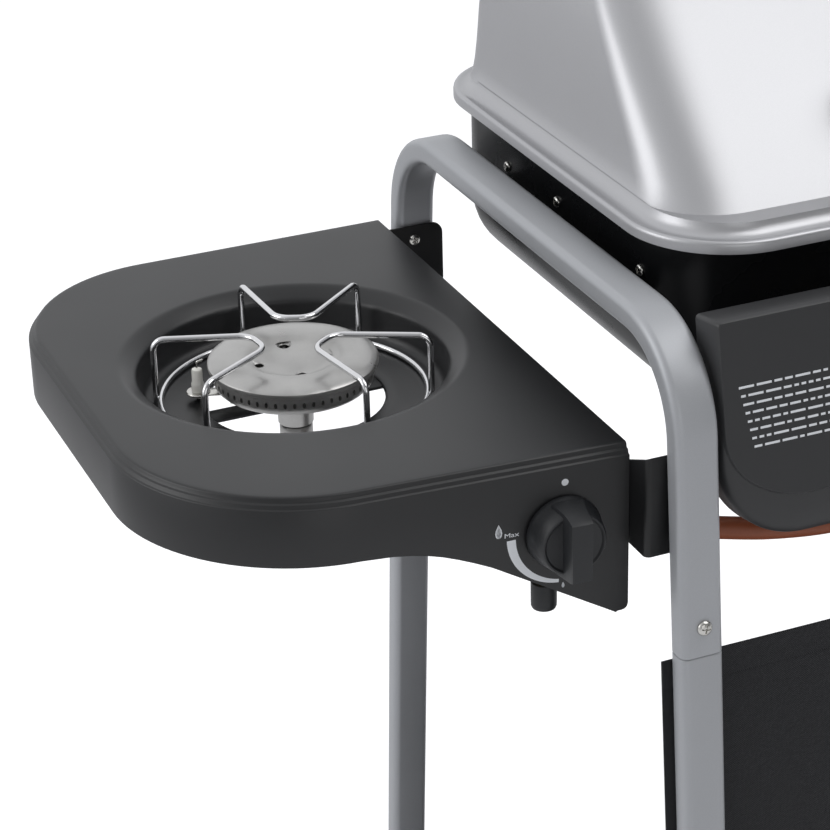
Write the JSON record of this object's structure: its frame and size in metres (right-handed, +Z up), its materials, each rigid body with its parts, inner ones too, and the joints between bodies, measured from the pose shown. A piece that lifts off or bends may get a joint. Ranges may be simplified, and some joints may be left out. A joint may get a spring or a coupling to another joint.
{
  "type": "gas barbecue grill",
  "caption": "Cart gas grill: sloped silver hood over a black firebox, bent flat-tube side frames, front cloth apron, and a D-shaped side table with a round gas burner in a well.",
  "frame": {"origin": "on the floor under the middle of the cart", "axes": "+Z up, -Y towards the cook at the front, +X along the cart towards the wheels"},
  "size_m": [1.242, 0.6728, 1.052],
  "materials": {
    "silver_paint": "satin silver powder coat",
    "graphite_paint": "satin graphite powder coat",
    "black_paint": "satin black paint",
    "black_enamel": "glossy black vitreous enamel",
    "hood_silver": "metallic silver enamel, satin",
    "aluminised_steel": "satin aluminised sheet",
    "chrome_wire": "polished chrome",
    "zinc_plate": "zinc plated",
    "brass": "machined",
    "ceramic": "glazed white ceramic",
    "black_plastic": "moulded satin black",
    "wheel_plastic": "moulded black, matt",
    "hose_rubber": "smooth orange-brown rubber",
    "apron_fabric": "plain woven black polyester"
  },
  "bodies": {
    "cart": {"frame_hoop_left": "silver_paint", "frame_hoop_right": "silver_paint", "leg_front_left": "silver_paint", "leg_rear_left": "silver_paint", "leg_front_right": "silver_paint", "leg_rear_right": "silver_paint", "crossbar_lower_front": "silver_paint", "crossbar_lower_rear": "silver_paint", "foot_cap_front_left": "black_plastic", "foot_cap_rear_left": "black_plastic", "inlet_cap": "black_plastic", "axle": "zinc_plate", "hinge_pin_left": "zinc_plate", "hinge_pin_right": "zinc_plate", "lava_grate": "zinc_plate", "manifold": "zinc_plate", "tray_holder": "zinc_plate", "side_burner_strap": "zinc_plate", "bottom_shelf": "graphite_paint", "control_panel": "graphite_paint", "side_table_left": "graphite_paint", "side_table_right": "graphite_paint", "front_apron": "apron_fabric", "firebox": "black_enamel", "firebox_rail_left": "black_paint", "firebox_rail_right": "black_paint", "hinge_bracket_left": "black_paint", "hinge_bracket_right": "black_paint", "table_bracket_front_left": "black_paint", "table_bracket_front_right": "black_paint", "table_bracket_rear_left": "black_paint", "table_bracket_rear_right": "black_paint", "cooking_grate": "chrome_wire", "burner_tube_left": "aluminised_steel", "burner_tube_right": "aluminised_steel", "side_burner_body": "aluminised_steel", "side_burner_cap": "aluminised_steel", "side_burner_tube": "aluminised_steel", "valve_left": "brass", "valve_right": "brass", "side_valve": "brass", "electrode": "ceramic", "gas_hose": "hose_rubber"},
    "hood_assembly": {"hood": "hood_silver", "hood_handle": "black_plastic", "hinge_leaf_left": "black_paint", "hinge_leaf_right": "black_paint"},
    "wheel_front_body": {"wheel_front": "wheel_plastic", "hub_cap_front": "black_plastic"},
    "wheel_rear_body": {"wheel_rear": "wheel_plastic", "hub_cap_rear": "black_plastic"},
    "left_stem": {"valve_stem_left": "brass"},
    "left_knob": {"knob_left": "black_plastic"},
    "right_stem": {"valve_stem_right": "brass"},
    "right_knob": {"knob_right": "black_plastic"},
    "side_stem": {"side_valve_stem": "brass"},
    "side_knob_body": {"side_knob": "black_plastic"},
    "igniter": {"igniter_button": "black_plastic"},
    "tray": {"drip_tray": "aluminised_steel"},
    "pan_support_body": {"pan_support": "chrome_wire"}
  },
  "joints": [
    {"name": "hood_hinge", "type": "hinge", "parent": "cart", "child": "hood_assembly", "pos_m": [0, 0.248, 0.884], "axis": [-1, 0, 0], "range_deg": [0, 80]},
    {"name": "left_knob_push", "type": "slide", "parent": "cart", "child": "left_stem", "axis": [0, 0.9848, -0.1736], "range_m": [0, 0.0015], "stiffness_N_per_m": 1500, "springref_m": -0.002},
    {"name": "left_knob_turn", "type": "hinge", "parent": "left_stem", "child": "left_knob", "pos_m": [-0.13, -0.22597, 0.80535], "axis": [0, -0.9848, 0.1736], "range_deg": [0, 180]},
    {"name": "right_knob_push", "type": "slide", "parent": "cart", "child": "right_stem", "axis": [0, 0.9848, -0.1736], "range_m": [0, 0.0015], "stiffness_N_per_m": 1500, "springref_m": -0.002},
    {"name": "right_knob_turn", "type": "hinge", "parent": "right_stem", "child": "right_knob", "pos_m": [0.13, -0.22597, 0.80535], "axis": [0, -0.9848, 0.1736], "range_deg": [0, 180]},
    {"name": "side_knob_push", "type": "slide", "parent": "cart", "child": "side_stem", "axis": [0.0698, 0.9976, 0], "range_m": [0, 0.0015], "stiffness_N_per_m": 1500, "springref_m": -0.002},
    {"name": "side_knob_turn", "type": "hinge", "parent": "side_stem", "child": "side_knob_body", "pos_m": [-0.37189, -0.18486, 0.731], "axis": [-0.0698, -0.9976, 0], "range_deg": [0, 180]},
    {"name": "igniter_push", "type": "slide", "parent": "cart", "child": "igniter", "axis": [0, 0.9848, -0.1736], "range_m": [0, 0.006], "stiffness_N_per_m": 1500, "springref_m": -0.002},
    {"name": "wheel_front_spin", "type": "hinge", "parent": "cart", "child": "wheel_front_body", "pos_m": [0.3, -0.31, 0.075], "axis": [0, 1, 0], "continuous": true},
    {"name": "wheel_rear_spin", "type": "hinge", "parent": "cart", "child": "wheel_rear_body", "pos_m": [0.3, 0.31, 0.075], "axis": [0, 1, 0], "continuous": true},
    {"name": "drip_tray_slide", "type": "slide", "parent": "cart", "child": "tray", "axis": [0, 1, 0], "range_m": [0, 0.2]},
    {"name": "pan_support_lift", "type": "slide", "parent": "cart", "child": "pan_support_body", "axis": [0, 0, 1], "range_m": [0, 0.08]}
  ]
}
